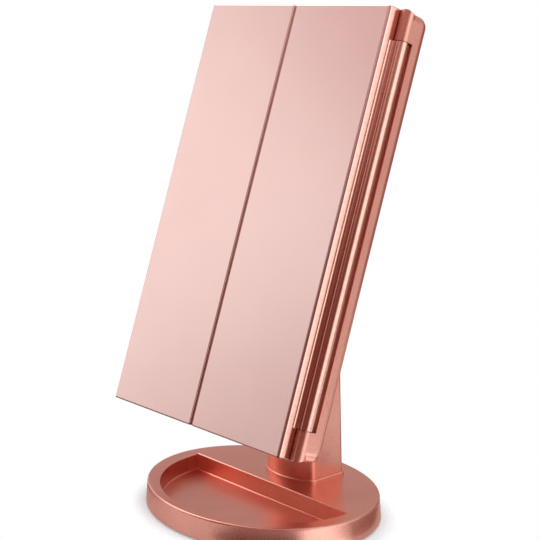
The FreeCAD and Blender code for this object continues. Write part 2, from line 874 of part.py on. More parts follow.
def hinge_end_blocks():
    """Solid corners that carry the shell's end knuckles."""
    blocks = []
    for side in (-1, 1):
        x_span = sorted((side * (hinge_x - hinge_clear_radius), side * shell_half_width))
        for z_span in ((shell_low, knuckle_low_end), (knuckle_high_end, shell_high)):
            blocks.append(box(x_span, (shell_front, hinge_depth + barrel_radius), z_span))
    return blocks


def knuckle_slope(end_z, fall):
    """Wedge that lets a knuckle's end fall backwards, by a signed height."""
    slope_start = hinge_depth - barrel_radius + end_knuckle_flat_depth
    slope_end = slope_start + end_knuckle_fall_depth
    back = hinge_depth + barrel_radius
    outline = [(slope_start, end_z), (back, end_z), (back, end_z + fall), (slope_end, end_z + fall)]
    points = [Vector(-shell_half_width, y, z) for y, z in outline]
    return Part.Face(Part.makePolygon(points + points[:1])).extrude(Vector(2 * shell_half_width, 0, 0))


def hinge_end_knuckles():
    """Round ends of the hinge line with the blocks they stand on, part of the shell."""
    low_slope = knuckle_slope(knuckle_low, end_knuckle_fall)
    high_slope = knuckle_slope(knuckle_high, -end_knuckle_fall)
    knuckles = []
    for side in (-1, 1):
        x_span = sorted((side * (hinge_x - hinge_clear_radius), side * hinge_x))
        for z in (knuckle_low, knuckle_high_end):
            start = Vector(side * hinge_x, hinge_depth, z)
            root = box(x_span, (shell_front, hinge_depth), (z, z + end_knuckle_length))
            knuckle = joined([rod(start, Z_AXIS, barrel_radius, end_knuckle_length), root])
            knuckles.append(knuckle.cut(low_slope).cut(high_slope))
    return knuckles


def hinge_pin_spans():
    """Start height of the lower and the upper hinge pin."""
    low = knuckle_low + hinge_pin_cover
    return (low, head_height - low - hinge_pin_length)


def back_shell():
    """Back half of the head with end knuckles and the cut-outs for the door barrels."""
    outer = shell_form(0)
    cavity = shell_form(shell_wall)
    cavity = cavity.cut(group(hinge_end_blocks()))
    cavity = cavity.cut(group(shell_posts()))
    shell = outer.cut(cavity)
    front_lip = box(around(0, shell_half_width - shell_wall), (shell_front - cut_overrun, shell_front),
                    (shell_low + shell_wall, shell_high - shell_wall))
    shell = shell.cut(front_lip)
    for side in (-1, 1):
        x_span = sorted((side * hinge_x, side * (shell_half_width + cut_overrun)))
        shell = shell.cut(box(x_span, (shell_front - cut_overrun, hinge_depth), (0, head_height)))
    shell = joined([shell] + hinge_end_knuckles())
    for side in (-1, 1):
        x_span = sorted((side * frame_half_width, side * (shell_half_width + cut_overrun)))
        notch = box(x_span, (shell_front - cut_overrun, notch_back), (knuckle_low_end, knuckle_high_end))
        shell = shell.cut(notch)
        for z in hinge_pin_spans():
            start = Vector(side * hinge_x, hinge_depth, z)
            shell = shell.cut(rod(start, Z_AXIS, hinge_pin_radius, hinge_pin_length))
    for place in head_screw_places():
        sink = rod(place + Vector(0, shell_back - head_recess_depth, 0), Y_AXIS,
                   head_recess_radius, head_recess_depth + cut_overrun)
        hole = rod(place + Vector(0, shell_front, 0), Y_AXIS, head_screw_radius + running_fit, shell_back)
        shell = shell.cut(sink).cut(hole)
    for place in bracket_screw_places():
        depth = bracket_screw_length - bracket_thickness
        pilot = rod(place + Vector(0, shell_back - depth, 0), Y_AXIS,
                    bracket_screw_radius, depth + cut_overrun)
        shell = shell.cut(pilot)
    return shell


def head_screws():
    """Screws through the back shell into the front frame."""
    seat_y = shell_back - head_recess_depth
    length = seat_y - frame_back + head_screw_bite
    return group([screw(place + Vector(0, seat_y, 0), Y_AXIS * -1, (head_screw_radius, length),
                        (head_screw_head_radius, head_screw_head_height)) for place in head_screw_places()])


def door_hinge_pins():
    """Steel pins, one at each end of both door hinges."""
    pins = []
    for side in (-1, 1):
        for z in hinge_pin_spans():
            start = Vector(side * hinge_x, hinge_depth, z)
            pins.append(rod(start, Z_AXIS, hinge_pin_radius, hinge_pin_length))
    return group(pins)


# Front frame, centre mirror and lights
def upright_slab(x_span, y_span, z_span, corner):
    """Flat piece of the head with rounded corners as seen from the front."""
    slab = box(x_span, y_span, z_span)
    return slab.makeFillet(corner, edges_along(slab, Y_AXIS))


def front_frame():
    """Face of the head behind the doors, with channels for the door barrels."""
    plate = box(around(0, frame_half_width), (shell_front, frame_back), (frame_low, frame_high))
    solids = [plate]
    channel_span = (barrel_low, barrel_high)
    for side in (-1, 1):
        inner = frame_half_width - channel_wall
        wall = box(sorted((side * inner, side * frame_half_width)),
                   (shell_front, channel_front + channel_wall), channel_span)
        floor = box(sorted((side * inner, side * (shell_half_width - shell_wall - part_gap))),
                    (channel_front, channel_front + channel_wall), channel_span)
        solids += [wall, floor]
    frame = joined(solids)
    half_x = mirror_width / 2 + seat_gap
    half_z = mirror_height / 2 + seat_gap
    bed = box(around(0, half_x), (shell_front - cut_overrun, mirror_back), around(head_middle, half_z))
    opening = box(around(0, half_x - mirror_ledge), (shell_front, frame_back + cut_overrun),
                  around(head_middle, half_z - mirror_ledge))
    frame = frame.cut(bed).cut(opening)
    for side in (-1, 1):
        half_window = window_width / 2
        window = upright_slab(around(side * window_x, half_window),
                              (shell_front - cut_overrun, frame_back + cut_overrun),
                              around(head_middle, window_length / 2), half_window - seat_gap)
        frame = frame.cut(window)
    for place in head_screw_places():
        pilot = rod(place + Vector(0, frame_back - head_screw_bite, 0), Y_AXIS,
                    head_screw_radius, head_screw_bite + cut_overrun)
        frame = frame.cut(pilot)
    return frame


def centre_mirror():
    """Plain mirror glass with a fine bevel round its face."""
    glass = box(around(0, mirror_width / 2), (mirror_front, mirror_back),
                around(head_middle, mirror_height / 2))
    return glass.makeChamfer(mirror_edge, edges_on_plane(glass, Y_AXIS, mirror_front))


def light_diffusers():
    """Frosted windows beside the mirror, each with a flange behind the frame."""
    pieces = []
    for side in (-1, 1):
        half_window = window_width / 2 - seat_gap
        half_length = window_length / 2 - seat_gap
        lens = upright_slab(around(side * window_x, half_window), (mirror_front, flange_front),
                            around(head_middle, half_length), half_window - seat_gap)
        flange = box(around(side * window_x, half_window + diffuser_flange),
                     (flange_front, flange_front + diffuser_flange_thickness),
                     around(head_middle, half_length + diffuser_flange))
        pieces.append(joined([lens, flange]))
    return group(pieces)


def led_boards():
    """Long boards behind the windows."""
    return group([box(around(side * window_x, led_board_width / 2), (led_board_front, led_board_back),
                      around(head_middle, led_board_length / 2)) for side in (-1, 1)])


def leds():
    """Rows of light-emitting diodes on the long boards."""
    pitch = led_board_length / led_count
    chips = []
    for side in (-1, 1):
        for step in range(led_count):
            z = head_middle - led_board_length / 2 + (step + 0.5) * pitch
            chips.append(box(around(side * window_x, led_width / 2), (led_front, led_board_front),
                             around(z, led_length / 2)))
    return group(chips)


def touch_sensor():
    """Round touch pad on the back of the centre mirror."""
    return rod(Vector(0, mirror_back, touch_up), Y_AXIS, touch_radius, touch_thickness)


def control_board():
    """Driver board on posts behind the mirror, with its chips."""
    back = shell_inner_back - control_lift
    board = box(around(0, control_width / 2), (back - control_thickness, back),
                around(control_up, control_height / 2))
    chips = [box(around(step * chip_pitch, chip_width / 2),
                 (back - control_thickness - chip_thickness, back - control_thickness),
                 around(control_up, chip_height / 2)) for step in (-1, 0, 1)]
    return joined([board] + chips)


# Doors, drawn for the right side
def door_side_x(depth):
    """Edge of the door beside the hinge, which slopes out a little from the front face."""
    return door_edge_x + (door_back_x - door_edge_x) * depth / door_thickness


def door_panel():
    """Flat front of a door with softened front edges."""
    outline = [(door_half_gap, 0), (door_edge_x, 0),
               (door_back_x, door_thickness), (door_half_gap, door_thickness)]
    points = [Vector(x, y, 0) for x, y in outline]
    panel = Part.Face(Part.makePolygon(points + points[:1])).extrude(Vector(0, 0, head_height))
    hinge_edge = [edge for edge in edges_on_plane(panel, Y_AXIS, 0)
                  if abs(edge.CenterOfMass.x - door_edge_x) < part_gap]
    panel = panel.makeFillet(door_hinge_edge_radius, hinge_edge)
    others = [edge for edge in edges_on_plane(panel, Y_AXIS, 0)
              if abs(edge.CenterOfMass.x - door_edge_x) > door_thickness]
    return panel.makeFillet(door_edge_radius, others)


def door_barrel():
    """Long hinge barrel joined to the door by a hollowed web."""
    start = Vector(door_side_x(door_web_front), door_web_front, barrel_low)
    lean_in = math.radians(door_web_angle)
    touch = Vector(hinge_x - barrel_radius * math.sin(lean_in),
                   hinge_depth - barrel_radius * math.cos(lean_in), barrel_low)
    dip = (start + touch) / 2 + Vector(0, door_valley, 0)
    back_right = Vector(hinge_x, door_thickness, barrel_low)
    back_left = Vector(door_edge_x, door_thickness, barrel_low)
    front_left = Vector(door_edge_x, door_web_front, barrel_low)
    edges = [
        Part.Arc(start, dip, touch).toShape(),
        Part.LineSegment(touch, back_right).toShape(),
        Part.LineSegment(back_right, back_left).toShape(),
        Part.LineSegment(back_left, front_left).toShape(),
        Part.LineSegment(front_left, start).toShape(),
    ]
    length = Vector(0, 0, barrel_high - barrel_low)
    web = Part.Face(Part.Wire(edges)).extrude(length)
    barrel = rod(Vector(hinge_x, hinge_depth, barrel_low), Z_AXIS, barrel_radius, length.z)
    return [web, barrel]


def door_cover():
    """Outer shell of a door: panel, hinge barrel and the pocket behind."""
    cover = joined([door_panel()] + door_barrel())
    pocket = box((door_half_gap + door_rim, door_inside_x), (door_front_wall, door_thickness + cut_overrun),
                 (door_pocket_low, door_pocket_high))
    cover = cover.cut(pocket)
    for z in hinge_pin_spans():
        bore = rod(Vector(hinge_x, hinge_depth, z - hinge_gap), Z_AXIS,
                   hinge_pin_radius + running_fit, hinge_pin_length + 2 * hinge_gap)
        cover = cover.cut(bore)
    return cover


def door_window(z_span):
    """Spans of a mirror's bed in a door frame."""
    return (door_half_gap + door_rim + door_frame_land, door_inside_x - door_frame_land), z_span


def door_frame(beds):
    """Inner frame that fills a door's pocket and holds its mirrors."""
    frame = box((door_half_gap + door_rim + seat_gap, door_inside_x - seat_gap),
                (door_front_wall + seat_gap, door_thickness),
                (door_pocket_low + seat_gap, door_pocket_high - seat_gap))
    for z_span, depth in beds:
        x_span, z_span = door_window(z_span)
        frame = frame.cut(box(x_span, (door_thickness - depth, door_thickness + cut_overrun), z_span))
    return frame


def door_mirror(z_span, thickness):
    """Plain mirror that lies in a door frame."""
    x_span, z_span = door_window(z_span)
    x_span = (x_span[0] + seat_gap, x_span[1] - seat_gap)
    z_span = (z_span[0] + seat_gap, z_span[1] - seat_gap)
    glass = box(x_span, (door_thickness - thickness, door_thickness - seat_gap), z_span)
    return glass.makeChamfer(mirror_edge, edges_on_plane(glass, Y_AXIS, door_thickness - seat_gap))


def dished_mirror(z_span, dish_radius):
    """Magnifying mirror: the same piece with a shallow hollow face."""
    blank = door_mirror(z_span, dished_thickness)
    bounds = blank.BoundBox
    half_x = bounds.XLength / 2 - mirror_edge
    half_z = bounds.ZLength / 2 - mirror_edge
    centre_y = door_thickness - seat_gap + math.sqrt(dish_radius ** 2 - half_x ** 2 - half_z ** 2)
    ball = Part.makeSphere(dish_radius, Vector(bounds.Center.x, centre_y, bounds.Center.z))
    return blank.cut(ball)


def full_mirror_span():
    """Height of a mirror that fills a door."""
    return (door_pocket_low + door_frame_land, door_pocket_high - door_frame_land)


def half_mirror_spans():
    """Heights of the two mirrors that share a door."""
    low, high = full_mirror_span()
    return (low, head_middle - door_mirror_bar / 2), (head_middle + door_mirror_bar / 2, high)


lower_span, upper_span = half_mirror_spans()

standing_pieces = {
    "base_shell": base_shell(),
    "base_plate": base_plate(),
    "plate_screws": plate_screws(),
    "rubber_feet": rubber_feet(),
    "battery_holder": battery_holder(),
    "battery_cells": battery_cells(),
    "battery_contacts": battery_contacts(),
    "battery_lid": battery_lid(),
    "power_board": power_board(),
    "usb_socket": usb_socket(),
    "switch_body": switch_body(),
    "switch_knob": switch_knob(),
    "stem": stem(),
    "stem_screws": stem_screws(),
    "tilt_shaft": tilt_shaft(),
    "friction_washers": friction_washers(),
    "pivot_caps": pivot_caps(),
}

head_pieces = {
    "tilt_bracket": tilt_bracket(),
    "bracket_screws": bracket_screws(),
    "back_shell": back_shell(),
    "head_screws": head_screws(),
    "door_hinge_pins": door_hinge_pins(),
    "front_frame": front_frame(),
    "centre_mirror": centre_mirror(),
    "light_diffusers": light_diffusers(),
    "led_boards": led_boards(),
    "leds": leds(),
    "touch_sensor": touch_sensor(),
    "control_board": control_board(),
    "right_door_cover": door_cover(),
    "right_door_frame": door_frame([(full_mirror_span(), door_mirror_thickness)]),
    "right_door_mirror": door_mirror(full_mirror_span(), door_mirror_thickness),
    "left_door_cover": mirrored(door_cover()),
    "left_door_frame": mirrored(door_frame([(lower_span, dished_thickness),
                                            (upper_span, dished_thickness)])),
    "left_lower_mirror": mirrored(dished_mirror(lower_span, lower_dish_radius)),
    "left_upper_mirror": mirrored(dished_mirror(upper_span, upper_dish_radius)),
}

os.makedirs("parts", exist_ok=True)
for name, shape in standing_pieces.items():
    shape.exportStep(os.path.join("parts", name + ".step"))
for name, shape in head_pieces.items():
    lean(shape).exportStep(os.path.join("parts", name + ".step"))
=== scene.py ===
# %% [markdown]
# # A tri-fold makeup mirror in rose gold
# This lesson dresses a finished mechanical model of a table mirror. Two doors close over a lit
# centre mirror, the head tilts on a stem, and the stem stands on an oval base with a tray.
# The model gives every shape and every joint. Here it gets its finishes, its small details,
# a studio and a camera.

import json
import math

import bmesh
import bpy
from mathutils import Matrix, Vector


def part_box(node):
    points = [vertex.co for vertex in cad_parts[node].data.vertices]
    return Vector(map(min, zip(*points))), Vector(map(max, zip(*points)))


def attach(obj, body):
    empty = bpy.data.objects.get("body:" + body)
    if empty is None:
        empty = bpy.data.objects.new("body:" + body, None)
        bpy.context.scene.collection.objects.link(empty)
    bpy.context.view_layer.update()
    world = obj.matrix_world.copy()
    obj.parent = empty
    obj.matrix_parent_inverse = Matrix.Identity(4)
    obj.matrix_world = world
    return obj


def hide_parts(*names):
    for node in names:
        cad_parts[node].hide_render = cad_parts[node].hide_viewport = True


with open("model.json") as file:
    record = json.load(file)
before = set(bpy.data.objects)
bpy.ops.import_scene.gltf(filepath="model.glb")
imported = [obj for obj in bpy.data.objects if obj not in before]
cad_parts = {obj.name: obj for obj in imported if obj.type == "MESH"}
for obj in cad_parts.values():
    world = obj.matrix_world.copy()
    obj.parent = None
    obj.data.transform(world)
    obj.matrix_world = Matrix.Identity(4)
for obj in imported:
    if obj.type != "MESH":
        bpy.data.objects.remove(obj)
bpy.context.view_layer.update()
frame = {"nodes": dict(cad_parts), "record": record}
nodes = frame["nodes"]
scene = bpy.context.scene
MM = 0.001

# %% [markdown]
# ## The camera
# The mirror is seen from the front right and a little from above. A long lens keeps its upright
# edges nearly parallel. The camera stands about 85 cm away, and its turn and pitch are plain
# angles, so no tracking constraint is needed.

# %% Set up the camera
CAMERA_PLACE = (0.60593, -0.52565, 0.31297)
CAMERA_TURN = 48.683
CAMERA_PITCH = 11.335
LENS_MM = 89.47
SENSOR_MM = 36.0
CLIP_START = 0.01

camera_data = bpy.data.cameras.new("photo_camera")
camera_data.sensor_width = SENSOR_MM
camera_data.lens = LENS_MM
camera_data.clip_start = CLIP_START
camera = bpy.data.objects.new("photo_camera", camera_data)
camera.location = CAMERA_PLACE
camera.rotation_euler = (math.radians(90.0 - CAMERA_PITCH), 0.0, math.radians(CAMERA_TURN))
scene.collection.objects.link(camera)
scene.camera = camera
print("camera at", tuple(camera.location), "lens", LENS_MM)

# %% [markdown]
# ## Wiring nodes
# The world, the floor and every finish are trees of small nodes. They could be wired by hand in
# the editor, but the same few come again and again: a calculation, a new range, a ramp, a mix.
# So each of these gets a short helper. What goes into it is a plain number, a colour or the output
# of another node.

# %% Numbers from nodes


def feed(tree, value, socket):
    """Link another node's output to a socket, or set the socket to a colour or a number."""
    if isinstance(value, bpy.types.NodeSocket):
        tree.links.new(value, socket)
    elif isinstance(value, tuple):
        socket.default_value = (*value, 1.0)
    else:
        socket.default_value = value


def calculate(tree, operation, *values):
    """Result of one calculation."""
    node = tree.nodes.new("ShaderNodeMath")
    node.operation = operation
    for value, socket in zip(values, node.inputs):
        feed(tree, value, socket)
    return node.outputs["Value"]


def new_range(tree, value, start, end, low=0.0, high=1.0, slope="LINEAR"):
    """Number that runs from low to high as a value runs from start to end."""
    node = tree.nodes.new("ShaderNodeMapRange")
    node.interpolation_type = slope
    limits = {"From Min": start, "From Max": end, "To Min": low, "To Max": high}
    for name, number in limits.items():
        node.inputs[name].default_value = number
    tree.links.new(value, node.inputs["Value"])
    return node.outputs["Result"]


def reach_along(tree, vector, direction):
    """How far a vector reaches along a direction."""
    node = tree.nodes.new("ShaderNodeVectorMath")
    node.operation = "DOT_PRODUCT"
    node.inputs[1].default_value = direction
    tree.links.new(vector, node.inputs[0])
    return node.outputs["Value"]


print("number helpers:", [helper.__name__ for helper in (feed, calculate, new_range, reach_along)])

# %% Colours and shaders from nodes
# A Mix node has sockets for every kind of data. These are the places of its colour sockets.
MIX_FIRST, MIX_SECOND, MIX_RESULT = 6, 7, 2
# Most noise values lie between these two.
NOISE_LOW, NOISE_HIGH = 0.3, 0.7


def ramp(tree, value, low, high, start=NOISE_LOW, end=NOISE_HIGH):
    """Colour that runs from low to high as a value rises."""
    node = tree.nodes.new("ShaderNodeValToRGB")
    for element, place, colour in zip(node.color_ramp.elements, (start, end), (low, high)):
        element.position = place
        element.color = (*colour, 1.0)
    tree.links.new(value, node.inputs["Fac"])
    return node.outputs["Color"]


def blend_colours(tree, share, first, second):
    """Mix of two colours by a share."""
    node = tree.nodes.new("ShaderNodeMix")
    node.data_type = "RGBA"
    feed(tree, share, node.inputs["Factor"])
    feed(tree, first, node.inputs[MIX_FIRST])
    feed(tree, second, node.inputs[MIX_SECOND])
    return node.outputs[MIX_RESULT]


def blend_shaders(tree, share, first, second):
    """Mix of two shaders by a share."""
    node = tree.nodes.new("ShaderNodeMixShader")
    tree.links.new(share, node.inputs["Fac"])
    tree.links.new(first, node.inputs[1])
    tree.links.new(second, node.inputs[2])
    return node.outputs[0]


print("colour helpers:", [helper.__name__ for helper in (ramp, blend_colours, blend_shaders)])

# %% [markdown]
# ## The studio
# Polished rose gold is only as good as what it reflects. The camera sees plain white all round, and
# the world's light on the object stays at an ordinary level. In reflections the room is a light
# grey shell with soft places on its walls, each a patch of directions with a soft border, and a
# later one lies over an earlier one. The dark place in front, around the camera, draws the dark
# streaks down the round hinge barrels and along the rim of the base. The bright walls on both
# sides draw the pale stripes beside them. The panels at the front left are what the doors reflect,
# the grey wall at the rear left is what the top of the base reflects, and the pale and dark walls
# behind shade the back of the head. A perfect mirror would show this patchwork sharply, so it gets
# a plain pale sky instead.

# %% Directions and walls
scene.view_settings.view_transform = "Standard"


def compass(turn, height):
    """Direction seen from the object: degrees from the front to the right, and above the floor."""
    turn, height = math.radians(turn), math.radians(height)
    return Vector((math.sin(turn) * math.cos(height), -math.cos(turn) * math.cos(height),
                   math.sin(height)))


def wall_patch(tree, ray, aim, inner, outer):
    """Value that is 1 within the inner angle around a direction and 0 beyond the outer one."""
    closeness = reach_along(tree, ray, aim)
    return new_range(tree, closeness, math.cos(math.radians(outer)), math.cos(math.radians(inner)),
                     slope="SMOOTHSTEP")


GREY_WALL = (0.62, 0.61, 0.605)
# What it is, its colour, the turn and height of its middle, and its inner and outer angle.
WALLS = (
    ("right wall", (1.3, 1.36, 1.35), 102.0, 2.0, 16.0, 36.0),
    ("high window, front left", (1.8, 1.76, 1.74), -38.0, 52.0, 12.0, 28.0),
    ("high window, right", (1.5, 1.47, 1.45), 80.0, 50.0, 10.0, 26.0),
    ("dark place in front", (0.18, 0.055, 0.04), 16.0, 2.0, 40.0, 60.0),
    ("rosy ceiling, front", (0.62, 0.41, 0.395), 16.0, 50.0, 20.0, 33.0),
    ("rosy ceiling, right", (0.62, 0.43, 0.41), 62.0, 38.0, 9.0, 23.0),
    ("white panel, left", (1.0, 0.985, 0.98), -58.5, 14.0, 3.0, 18.0),
    ("left wall", (1.4, 1.38, 1.37), -98.0, -2.0, 8.0, 18.0),
    ("rosy panel, front left", (0.56, 0.35, 0.325), -43.0, 39.0, 8.0, 23.0),
    ("grey panel, front left", (0.56, 0.46, 0.45), -38.0, 2.0, 4.0, 17.0),
    ("bright window, left", (3.0, 2.9, 2.85), -76.0, 44.0, 12.0, 22.0),
    ("bright panel, right", (1.8, 1.76, 1.72), 98.0, 20.0, 6.0, 16.0),
    ("grey wall, rear left", (0.53, 0.5, 0.515), 231.0, 13.0, 14.0, 34.0),
    ("pale wall, rear right", (0.95, 0.93, 0.92), 135.0, 14.0, 8.0, 20.0),
    ("dark wall behind", (0.3, 0.16, 0.13), 174.0, -10.0, 14.0, 40.0),
)
print("walls in reflections:", [wall[0] for wall in WALLS])

# %% Paint the room
WORLD_LIGHT = 0.55
WARM_WHITE = (1.0, 0.98, 0.97)
WHITE = (1.0, 1.0, 1.0)
SKY_LOW, SKY_HIGH = (0.66, 0.68, 0.7), (0.97, 0.98, 0.985)

world = bpy.data.worlds.new("white_studio")
scene.world = world
world.use_nodes = True
tree = world.node_tree
tree.nodes.clear()


def sky(colour, strength=1.0):
    """Background of a colour."""
    node = tree.nodes.new("ShaderNodeBackground")
    feed(tree, colour, node.inputs["Color"])
    node.inputs["Strength"].default_value = strength
    return node.outputs[0]


ray = tree.nodes.new("ShaderNodeTexCoord").outputs["Generated"]
room = GREY_WALL
for wall, colour, turn, height, inner, outer in WALLS:
    patch = wall_patch(tree, ray, compass(turn, height), inner, outer)
    room = blend_colours(tree, patch, room, colour)
upward = tree.nodes.new("ShaderNodeSeparateXYZ")
tree.links.new(ray, upward.inputs["Vector"])
pale_sky = ramp(tree, upward.outputs["Z"], SKY_LOW, SKY_HIGH, 0.0, 1.0)
print("room painted with", len(tree.nodes), "nodes")

# %% Choose what each ray sees


def seen_rays(tree, path):
    """Value that is 1 for rays from the camera, also through clear things."""
    return calculate(tree, "MAXIMUM", path["Is Camera Ray"], path["Is Transmission Ray"])


path = tree.nodes.new("ShaderNodeLightPath").outputs
mirrored = blend_shaders(tree, path["Is Glossy Ray"], sky(WARM_WHITE, WORLD_LIGHT), sky(room))
silvered = blend_shaders(tree, path["Is Singular Ray"], mirrored, sky(pale_sky))
chosen = blend_shaders(tree, seen_rays(tree, path), silvered, sky(WHITE))
out = tree.nodes.new("ShaderNodeOutputWorld")
tree.links.new(chosen, out.inputs["Surface"])
print("world:", world.name, "light", WORLD_LIGHT)

# %% Hang the lamps
LAMP_AIM = Vector((0.0, 0.0, 0.14))
# Name, place, size in metres and power in watts.
LAMPS = (
    ("front_left_softbox", (-1.0, -1.1, 0.9), 0.9, 9.0),
    ("top_softbox", (0.1, 0.1, 1.6), 1.1, 14.0),
    ("rear_right_softbox", (1.1, 0.9, 0.6), 0.7, 5.0),
)


def soft_lamp(name, place, size, watts):
    """Square soft light at a place, turned towards the object and not seen in reflections."""
    data = bpy.data.lights.new(name, "AREA")
    data.size = size
    data.energy = watts
    lamp = bpy.data.objects.new(name, data)
    lamp.location = place
    lamp.rotation_euler = (LAMP_AIM - Vector(place)).to_track_quat("-Z", "Y").to_euler()
    lamp.visible_glossy = False
    scene.collection.objects.link(lamp)
    return lamp


lamps = [soft_lamp(*lamp) for lamp in LAMPS]
print("lamps:", [lamp.name for lamp in lamps])

# %% [markdown]
# ## The floor
# The floor is a sheet of white paper. Around the object it is lit and takes the soft shadow. Seen
# by the camera, that shadow ends in a narrow oval around the base. Further out the paper fades into
# the white of the room for every ray, so no edge or horizon shows. From below it is clear, so the
# underside of the base can be looked at. Six cards lie on the paper: dark ones on the camera's
# side, to the right, behind and to the left, and two white ones to the right. Only reflections see
# them. They shade the sloping side of the base and the lower edges of the head.

# %% Lay the floor
FLOOR_HALF_SIZE = 2.0
FLOOR_LIFT = 0.23
FLOOR_LIFT_MIRRORED = 0.08
PAPER_WHITE = (0.605, 0.622, 0.627)


def stage_plane(name, size, matrix):
    """Flat square that isn't part of the object."""
    mesh = bpy.data.meshes.new(name)
    bm = bmesh.new()
    bmesh.ops.create_grid(bm, x_segments=1, y_segments=1, size=size)
    bmesh.ops.transform(bm, matrix=matrix, verts=bm.verts)
    bm.to_mesh(mesh)
    bm.free()
    plane = bpy.data.objects.new(name, mesh)
    scene.collection.objects.link(plane)
    return plane


floor = stage_plane("floor", FLOOR_HALF_SIZE, Matrix.Identity(4))
paper = bpy.data.materials.new("white_paper")
paper.use_nodes = True
tree = paper.node_tree
tree.nodes.clear()
path = tree.nodes.new("ShaderNodeLightPath").outputs
matte = tree.nodes.new("ShaderNodeBsdfDiffuse")
feed(tree, PAPER_WHITE, matte.inputs["Color"])
glow = tree.nodes.new("ShaderNodeEmission")
feed(tree, WHITE, glow.inputs["Color"])
lift_seen = calculate(tree, "MULTIPLY", seen_rays(tree, path), FLOOR_LIFT)
lift = calculate(tree, "MULTIPLY_ADD", path["Is Glossy Ray"], FLOOR_LIFT_MIRRORED, lift_seen)
tree.links.new(lift, glow.inputs["Strength"])
sheet = tree.nodes.new("ShaderNodeAddShader")
tree.links.new(matte.outputs[0], sheet.inputs[0])
tree.links.new(glow.outputs[0], sheet.inputs[1])
print("floor:", floor.name)

# %% Fade the floor out
# Half width and half depth of an oval, and the scales of it where the paper starts and ends fading.
SHADOW_OVAL = (0.083, 0.0675, 0.97, 1.14)
PAPER_ROUND = (1.0, 1.0, 0.22, 0.6)
floor_coords = tree.nodes.new("ShaderNodeTexCoord").outputs["Object"]


def oval_fade(half_width, half_depth, start, end):
    """Value that rises from 0 to 1 between two scales of an oval around the object."""
    squeeze = tree.nodes.new("ShaderNodeVectorMath")
    squeeze.operation = "DIVIDE"
    squeeze.inputs[1].default_value = (half_width, half_depth, 1.0)
    tree.links.new(floor_coords, squeeze.inputs[0])
    reach = tree.nodes.new("ShaderNodeVectorMath")
    reach.operation = "LENGTH"
    tree.links.new(squeeze.outputs["Vector"], reach.inputs[0])
    return new_range(tree, reach.outputs["Value"], start, end, slope="SMOOTHSTEP")


below = tree.nodes.new("ShaderNodeNewGeometry").outputs["Backfacing"]
near = calculate(tree, "MULTIPLY", path["Is Camera Ray"], oval_fade(*SHADOW_OVAL))
faded = calculate(tree, "MAXIMUM", near, oval_fade(*PAPER_ROUND))
faded = calculate(tree, "MAXIMUM", faded, below)
clear = tree.nodes.new("ShaderNodeBsdfTransparent")
laid = blend_shaders(tree, faded, sheet.outputs[0], clear.outputs[0])
out = tree.nodes.new("ShaderNodeOutputMaterial")
tree.links.new(laid, out.inputs["Surface"])
floor.data.materials.append(paper)
print("paper:", paper.name, len(tree.nodes), "nodes")

# %% Lay the cards
CARD_HEIGHT = 0.8 * MM
# Name, turn, distance of its near end, half width, half length, colour and glow.
CARDS = (
    ("dark_card", 42.0, 0.075, 0.042, 0.03, (0.14, 0.045, 0.035), 0.0),
    ("white_card", 78.0, 0.083, 0.022, 0.03, (0.86, 0.98, 0.99), 0.62),
    ("side_card", 120.0, 0.086, 0.04, 0.03, (0.3, 0.2, 0.18), 0.0),
    ("far_white_card", 84.0, 0.15, 0.07, 0.1, (0.88, 0.96, 0.96), 1.05),
    ("rear_card", 178.0, 0.11, 0.065, 0.13, (0.2, 0.08, 0.06), 0.0),
    ("left_card", -72.0, 0.09, 0.06, 0.05, (0.16, 0.06, 0.05), 0.0),
)


def lying_card(name, turn, near, half_width, half_length, colour, glow):
    """Strip of card on the floor that only reflections see, pointing away from the object."""
    place = (Matrix.Rotation(math.radians(turn), 4, "Z")
             @ Matrix.Translation((0.0, -near - half_length, CARD_HEIGHT))
             @ Matrix.Diagonal((half_width, half_length, 1.0, 1.0)))
    card = stage_plane(name, 1.0, place)
    card.visible_camera = False
    card.visible_shadow = False
    card.visible_diffuse = False
    card.visible_transmission = False
    material = bpy.data.materials.new(name)
    material.use_nodes = True
    shader = material.node_tree.nodes["Principled BSDF"]
    shader.inputs["Base Color"].default_value = (*colour, 1.0)
    shader.inputs["Roughness"].default_value = 1.0
    shader.inputs["Specular IOR Level"].default_value = 0.0
    shader.inputs["Emission Color"].default_value = (*colour, 1.0)
    shader.inputs["Emission Strength"].default_value = glow
    card.data.materials.append(material)
    return card


cards = [lying_card(*card) for card in CARDS]
print("cards:", [card.name for card in cards])

# %% [markdown]
# ## Rose finishes
# The base, the stem and the back of the head are sprayed with a metallic paint: tiny flakes under
# a clear coat, rather deep in colour. The doors have a paler, smoother satin coat. Both are a
# metallic shader whose colour and roughness are broken up by noise on two scales: flakes of under
# a millimetre and a faint cloud from the spray gun. Object coordinates hold the pattern still.

# %% Paint helpers


def shader_of(name):
    """New material with its node tree, its shader and object coordinates."""
    material = bpy.data.materials.new(name)
    material.use_nodes = True
    tree = material.node_tree
    coords = tree.nodes.new("ShaderNodeTexCoord")
    return material, tree, tree.nodes["Principled BSDF"], coords.outputs["Object"]


def noise(tree, coords, scale, detail=2.0, stretch=None):
    """Noise value between 0 and 1, optionally stretched along an axis."""
    texture = tree.nodes.new("ShaderNodeTexNoise")
    texture.inputs["Scale"].default_value = scale
    texture.inputs["Detail"].default_value = detail
    if stretch:
        mapping = tree.nodes.new("ShaderNodeMapping")
        mapping.inputs["Scale"].default_value = stretch
        tree.links.new(coords, mapping.inputs["Vector"])
        coords = mapping.outputs["Vector"]
    tree.links.new(coords, texture.inputs["Vector"])
    return texture.outputs["Fac"]


def spread(tree, value, low, high):
    """Number between low and high as a noise value rises."""
    return new_range(tree, value, NOISE_LOW, NOISE_HIGH, low, high)


